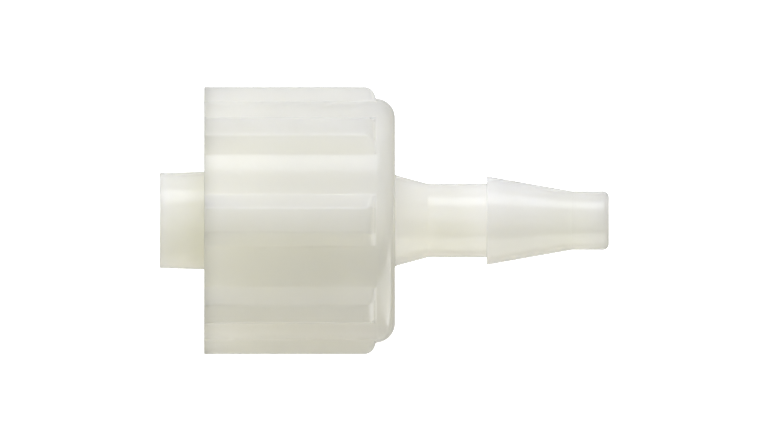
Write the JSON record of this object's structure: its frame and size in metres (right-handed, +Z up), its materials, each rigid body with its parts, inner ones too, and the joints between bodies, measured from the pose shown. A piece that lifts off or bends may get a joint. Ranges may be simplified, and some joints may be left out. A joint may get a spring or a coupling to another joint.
{
  "type": "male luer lock fitting",
  "caption": "One-piece plastic fitting: a tapered male luer cone in a ribbed lock collar with an internal two-start thread, and a single hose barb behind it.",
  "frame": {"origin": "on the surface that the fitting lies on, below the middle of its length and on its axis's vertical plane", "axes": "+X along the fitting's axis from the luer cone towards the hose barb, +Z up; two neighbouring grip ribs rest on the surface"},
  "size_m": [0.0188, 0.0108, 0.0107],
  "materials": {
    "natural_plastic": "natural, milky translucent moulded polypropylene with a satin surface"
  },
  "bodies": {
    "root": {"luer_fitting": "natural_plastic"}
  },
  "joints": []
}
